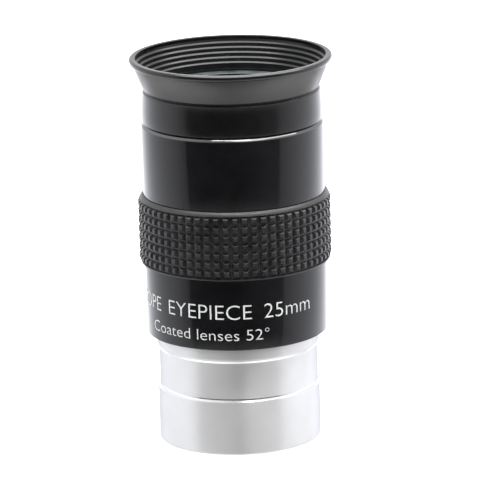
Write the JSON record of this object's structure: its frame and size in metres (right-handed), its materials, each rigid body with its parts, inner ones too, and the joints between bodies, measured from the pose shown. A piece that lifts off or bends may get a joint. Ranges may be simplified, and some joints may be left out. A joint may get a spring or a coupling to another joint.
{
  "type": "telescope eyepiece",
  "caption": "Telescope eyepiece with a push-fit plated nosepiece, glossy black body, studded rubber grip ring, coated lenses and a flared ribbed rubber eyecup.",
  "frame": {"origin": "on the optical axis at the foot of the nosepiece, the lowest plane of the object", "axes": "+Z along the optical axis from the focuser towards the eye; -Y towards the lettered front"},
  "size_m": [0.0394, 0.0394, 0.0759],
  "materials": {
    "plated_barrel": "satin-turned bright chrome plate on brass",
    "black_anodised": "gloss black anodised aluminium",
    "matt_black_cell": "matt black anodised aluminium",
    "blackened_ring": "chemically blackened brass, matt",
    "grip_rubber": "moulded grey-black rubber with pyramid studs",
    "eyecup_rubber": "soft matt black rubber",
    "shim": "thin black polyester film",
    "coated_glass": "polished optical glass with a pale green anti-reflection coating"
  },
  "bodies": {
    "housing": {"main_body": "black_anodised", "grip_ring": "grip_rubber", "lens_cell": "matt_black_cell", "cell_lock_ring": "matt_black_cell", "lens_retaining_ring": "blackened_ring", "eye_lens_shim": "shim", "eye_lens_flint": "coated_glass", "eye_lens_crown": "coated_glass", "lens_spacer": "blackened_ring", "field_lens_crown": "coated_glass", "field_lens_flint": "coated_glass", "field_lens_shim": "shim"},
    "field_stop": {"field_stop_ring": "blackened_ring"},
    "nosepiece": {"nosepiece_barrel": "plated_barrel"},
    "eyecup": {"eyecup_sleeve": "eyecup_rubber"},
    "eyecup_rim": {"eyecup_skirt": "eyecup_rubber"}
  },
  "joints": [
    {"name": "nosepiece_travel", "type": "slide", "parent": "housing", "child": "field_stop", "axis": [0, 0, -1], "range_m": [0, 0.0045]},
    {"name": "nosepiece_turn", "type": "hinge", "parent": "field_stop", "child": "nosepiece", "pos_m": [0, 0, 0.0219], "axis": [0, 0, -1], "range_deg": [0, 2160]},
    {"name": "eyecup_pull", "type": "slide", "parent": "housing", "child": "eyecup", "axis": [0, 0, 1], "range_m": [0, 0.006]},
    {"name": "eyecup_press", "type": "slide", "parent": "eyecup", "child": "eyecup_rim", "axis": [0, 0, -1], "range_m": [0, 0.003], "stiffness_N_per_m": 500, "deforming": ["eyecup_skirt"]}
  ],
  "couplings": [
    {"joint": "nosepiece_travel", "follows": "nosepiece_turn", "m_per_rad": 0.00011937}
  ]
}
